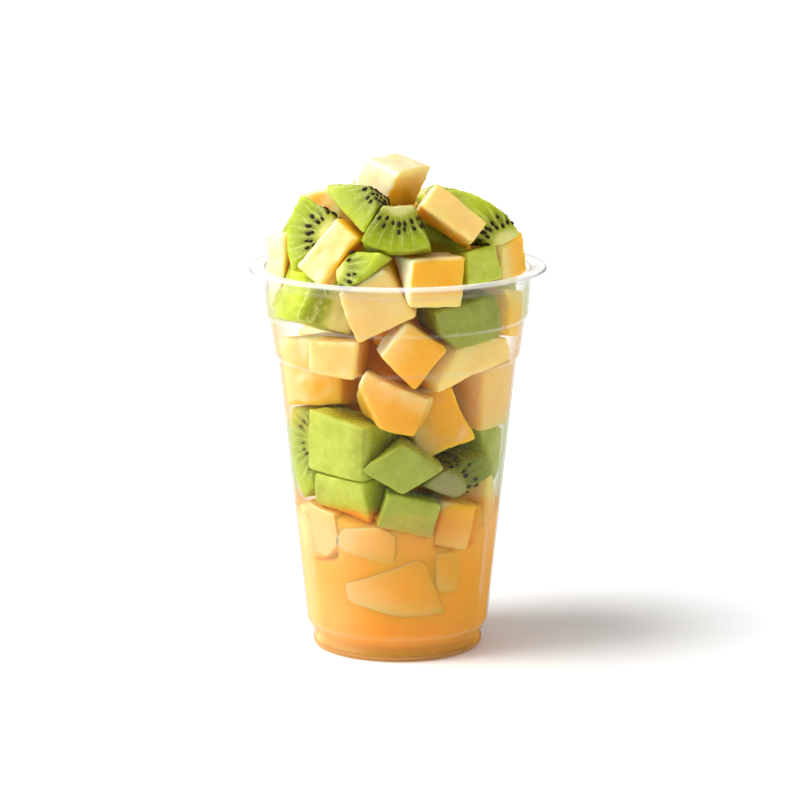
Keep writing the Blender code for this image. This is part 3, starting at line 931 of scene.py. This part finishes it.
# %% Juice outlines
INTO_WALL = 0.15 * MM
DENT = 1.3 * MM                 # between a chunk in the juice and the cloudy body behind it
SPREAD = 8                      # how many edges away the cloudy body begins to give way


def inner_outline(top):
    """The cup's inner outline from the middle of its floor up to a height."""
    rim = max(range(len(cup_outline)), key=lambda order: cup_outline[order][1])
    points = []
    for point, after in zip(cup_outline[:rim], cup_outline[1:rim]):
        points.append(Vector(point))
        if after[1] > top:
            share = (top - point[1]) / (after[1] - point[1])
            return points + [Vector(point).lerp(Vector(after), share)]
    return points


def moved_out(points, shift):
    """An outline moved sideways, out of the juice where shift is positive, held at the axis."""
    result = []
    for order, point in enumerate(points):
        before, after = points[max(order - 1, 0)], points[min(order + 1, len(points) - 1)]
        along = (after - before).normalized()
        out = point + Vector((along.y, -along.x)) * shift(point)
        result.append((max(out.x, 0.0), out.y) if order else (0.0, out.y))
    return result


def dented(data, chunks):
    """Moves the cloudy body back behind the chunks that stand in the juice, with soft slopes."""
    work = bmesh.new()
    for chunk in chunks:
        work.from_mesh(chunk)
    fruit = BVHTree.FromBMesh(work)
    work.free()
    needed = np.zeros(len(data.vertices))
    free = np.zeros(len(data.vertices))
    for vertex in data.vertices:
        reach = vertex.co.xy.length
        if reach > 15 * MM and vertex.co.z > 12 * MM:
            free[vertex.index] = 1.0
            out = Vector((vertex.co.x, vertex.co.y, 0.0)) / reach
            start = Vector((0.0, 0.0, vertex.co.z)) + out * 45 * MM
            hit = fruit.ray_cast(start, -out, 21 * MM)[0]
            if hit is not None:
                needed[vertex.index] = min(0.0, hit.xy.length - DENT - reach)
    ends = np.array([edge.vertices[:] for edge in data.edges])
    ends = np.concatenate([ends, ends[:, ::-1]])
    shares = np.bincount(ends[:, 0], minlength=len(needed))
    shifts = needed
    for _ in range(SPREAD):
        around = np.bincount(ends[:, 0], shifts[ends[:, 1]], minlength=len(needed)) / shares
        shifts = np.minimum(needed, around * free)
    for vertex, shift in zip(data.vertices, shifts):
        if shift < 0:
            vertex.co.xy *= 1.0 + shift / vertex.co.xy.length
    return data


def closed_outline(points, top):
    points = [(r, min(z, top)) for r, z in points]
    points[-1] = (points[-1][0], top)
    return points + [(0.0, top)]


def cloud_depth(point):
    """How deep the cloudy body begins: close under the skin in the foot, deeper above."""
    rise = min(1.0, max(0.0, (point.y - 7.0 * MM) / (10.0 * MM)))
    return -(0.9 + 2.0 * rise) * MM


skin_points = closed_outline(moved_out(inner_outline(JUICE_LEVEL), lambda point: INTO_WALL), JUICE_LEVEL)
core_points = [Vector(point) for point in stations(inner_outline(JUICE_LEVEL), 1.2 * MM)]
core_points = closed_outline(moved_out(core_points, cloud_depth), JUICE_LEVEL - 2.5 * MM)
print("juice outline points", len(skin_points), len(core_points))

# %% Juice looks
juice_look, graph = new_look("juice_skin")
place = graph.add("ShaderNodeTexCoord", None, None, out="Object")
cloud = graph.add("ShaderNodeTexNoise", None, {"Vector": place, "Scale": 45.0, "Detail": 2.0})
clear = graph.add("ShaderNodeBsdfTransparent", None, {"Color": colour(1.0, 1.0, 1.0)})
normal = graph.add("ShaderNodeNewGeometry", None, None, out="Normal")
upward = separate(graph, normal)[2]
# Painted light: the pulp is paler on the side that faces the lights and towards the top of the juice.
leftward = graph.arrow("DOT_PRODUCT", normal, (-0.92, -0.39, 0.0), out="Value")
light_side = leftward.ramp(0.55, 0.95) * 0.6 + separate(graph, place)[2].ramp(28.0 * MM, 46.0 * MM) * 0.35
pulp_colour = graph.mix(light_side, colour(0.93, 0.46, 0.07), colour(0.98, 0.74, 0.42))
pulp = graph.add("ShaderNodeBsdfDiffuse", None, {"Color": pulp_colour})
slant = graph.add("ShaderNodeLayerWeight", None, {"Blend": 0.5}, out="Facing")
side = slant * (1.0 - upward * upward)
deep = separate(graph, place)[2].ramp(JUICE_LEVEL - 9.0 * MM, JUICE_LEVEL - 0.5 * MM, 1.0, 0.10)
fog = (cloud.ramp(0.3, 0.7, 0.20, 0.28) / (1.25 - side) + side.ramp(0.45, 0.80, 0.0, 0.5)) * deep
body = graph.add("ShaderNodeMixShader", None, {0: fog.maths("MINIMUM", fog, 0.9), 1: clear, 2: pulp})
absorb = graph.add("ShaderNodeVolumeAbsorption", None, {"Color": colour(1.0, 0.74, 0.30), "Density": 12.0})
finish_look(graph, body, absorb)

cloud_look, graph = new_look("juice_cloud")
place = graph.add("ShaderNodeTexCoord", None, None, out="Object")
cloud = graph.add("ShaderNodeTexNoise", None, {"Vector": place, "Scale": 55.0, "Detail": 2.0})
foot = separate(graph, place)[2].ramp(14.0 * MM, 5.0 * MM)
cloudy = graph.add("ShaderNodeBsdfPrincipled", None, {
    "Base Color": graph.mix(foot, graph.mix(cloud.ramp(0.3, 0.7), JUICE_COLOUR, colour(0.92, 0.44, 0.05)),
                            colour(1.0, 0.36, 0.07)),
    "Roughness": 0.6,
    "Subsurface Weight": 1.0,
    "Subsurface Radius": (1.0, 0.55, 0.2),
    "Subsurface Scale": 9.0 * MM,
    "Specular IOR Level": 0.0,
})
finish_look(graph, cloudy)

skin = joined("juice_skin", [turned("juice_skin", rounded(skin_points, 0.4 * MM), 128)], juice_look)
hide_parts("juice")
in_it = [mesh for mesh in list(kiwi_meshes.values()) + list(melon_meshes.values())
         if min(vertex.co.z for vertex in mesh.vertices) < JUICE_LEVEL]
cloud_mesh = dented(turned("juice_cloud", rounded(core_points, 2.0 * MM), 160), in_it)
core = joined("juice_cloud", [cloud_mesh], cloud_look)
print("juice faces", len(skin.data.polygons), len(core.data.polygons))

# %% [markdown]
# ## Sunk fruit
# More melon lies in the juice, pressed to the wall, where it shows as pale soft shapes. Each
# chunk is cut by knife planes like the others; a plane is the way it faces, as an angle in the
# wall's own flat, and its distance from the chunk's middle. What would stand out of the wall is
# pressed back to it.

# %% Sunk chunks
TO_WALL = 2.45 * MM             # between a sunk chunk and the wall
SUNK_PAINTED_LIGHT = 1.14                # a tone above 1, whose only effect is painted light on the sides of sunk chunks that face the lights


def cut_chunk(sides, thickness):
    mesh = bmesh.new()
    bmesh.ops.create_cube(mesh, size=0.1)
    planes = [(Vector((math.cos(math.radians(a)), 0, math.sin(math.radians(a)))), d) for a, d in sides]
    planes += [(Vector((0.05, 1, 0.1)).normalized(), thickness / 2), (Vector((0, -1, 0)), thickness / 2)]
    for normal, distance in planes:
        everything = mesh.verts[:] + mesh.edges[:] + mesh.faces[:]
        cut = bmesh.ops.bisect_plane(mesh, geom=everything, plane_co=normal * distance * MM,
                                     plane_no=normal, clear_outer=True, dist=1e-6)
        edge = [item for item in cut["geom_cut"] if isinstance(item, bmesh.types.BMEdge)]
        bmesh.ops.holes_fill(mesh, edges=edge, sides=0)
    return mesh


def set_down(mesh, bearing, height, facing, thickness):
    """Sets a sunk chunk at a bearing from the front, with its outer side near the wall."""
    inner = BODY_FOOT[0] + (height * MM - BODY_FOOT[1]) * BODY_FLARE
    reach = inner - thickness / 2 * MM
    angle = math.radians(bearing)
    spot = Vector((math.sin(angle) * reach, -math.cos(angle) * reach, height * MM))
    mesh.transform(Matrix.Translation(spot) @ Matrix.Rotation(math.radians(bearing + facing), 4, "Z"))


def loose_sides(unsteady, size):
    """The side planes of a chunk that was cut by eye."""
    angles = [0, 90, 180, 270]
    turn = unsteady.uniform(0, 90)
    return [(angle + turn + unsteady.uniform(-12, 12), size * unsteady.uniform(0.75, 1.1)) for angle in angles]


SUNK = [                        # side planes, thickness, bearing, height and turn
    ([(112.6, 8.5), (19, 11.4), (255.7, 7.4), (190, 16.4), (60, 12.8)], 13, 1, 22.5, 0),
    ([(97, 5.5), (66, 7.4), (355, 9.6), (258.5, 4.2), (144, 8.8), (215, 9.2)], 10, -20.5, 38.5, -6),
    ([(88, 6.8), (8, 3.9), (268, 6.5), (185, 4.1), (235, 6.2)], 10, 34, 28.5, 6),
    ([(86, 7.5), (4, 8.5), (262, 8.0), (178, 9.0), (310, 8.0)], 10, -58, 40.5, 4),
]
unsteady = random.Random(9)
for bearing, height in ((126, 22), (150, 37), (168, 17), (206, 27), (246, 36), (262, 17)):
    SUNK.append((loose_sides(unsteady, unsteady.uniform(6.5, 9.5)), 12, bearing, height, unsteady.uniform(-15, 15)))

sunk_meshes = []
for sides, thickness, bearing, height, facing in SUNK:
    chunk = cut_chunk(sides, thickness)
    set_down(chunk, bearing, height, facing, thickness)
    data = softened(chunk, 24, 0.35 * MM, 0.10 * MM, 500.0)
    pressed(data, TO_WALL, share=1.0)
    note_fruit(data, melon_frame(chunk))
    note_tone(data, SUNK_PAINTED_LIGHT)
    chunk.free()
    sunk_meshes.append(data)
sunk = joined("melon_sunk", sunk_meshes, melon_look)
print("sunk faces", len(sunk.data.polygons))

# %% [markdown]
# ## Floor, light and camera
# A plain white floor runs on behind the cup, so that no edge of it shows. One soft sun stands
# high on the left and throws a short shadow to the right, and a white sky fills everything else.

# %% Stage
floor = bpy.data.objects.new("floor", bpy.data.meshes.new("floor"))
sheet = bmesh.new()
bmesh.ops.create_grid(sheet, x_segments=1, y_segments=1, size=8.0)
sheet.to_mesh(floor.data)
sheet.free()
bpy.context.scene.collection.objects.link(floor)
floor_look, graph = new_look("floor")
place = graph.add("ShaderNodeTexCoord", None, None, out="Object")
grain = graph.add("ShaderNodeTexNoise", None, {"Vector": place, "Scale": 6.0})
paper = graph.add("ShaderNodeBsdfPrincipled", None, {
    "Base Color": graph.mix(grain, colour(0.93, 0.93, 0.93), colour(0.95, 0.95, 0.95)),
    "Roughness": 0.7,
    "Specular IOR Level": 0.2,
})
finish_look(graph, paper)
floor.data.materials.append(floor_look)

world = bpy.data.worlds.new("sky")
world.use_nodes = True
world.node_tree.nodes["Background"].inputs["Color"].default_value = (1.0, 1.0, 1.0, 1.0)
world.node_tree.nodes["Background"].inputs["Strength"].default_value = 0.42
bpy.context.scene.world = world



def add_sun(name, energy, spread, rise, forward):
    """A far light: its height over the horizon, and its angle from the left round by the front."""
    data = bpy.data.lights.new(name, "SUN")
    data.energy = energy
    data.angle = math.radians(spread)
    thing = bpy.data.objects.new(name, data)
    bpy.context.scene.collection.objects.link(thing)
    side = math.radians(forward)
    to_light = Vector((-math.cos(side), -math.sin(side), math.tan(math.radians(rise))))
    thing.rotation_euler = to_light.to_track_quat("Z", "Y").to_euler()


add_sun("key", 2.5, 30, 60, 12)
add_sun("side", 1.7, 50, 20, 26)
add_sun("fill", 0.5, 70, 30, 150)

camera_data = bpy.data.cameras.new("camera")
camera_data.lens = 157.5
camera_data.sensor_width = 36.0
camera = bpy.data.objects.new("camera", camera_data)
bpy.context.scene.collection.objects.link(camera)
camera.location = (0.0008, -1.10, 0.3055)
camera.rotation_euler = (math.radians(90 - 11.6), 0.0, 0.0)
bpy.context.scene.camera = camera
bpy.context.scene.view_settings.view_transform = "Standard"
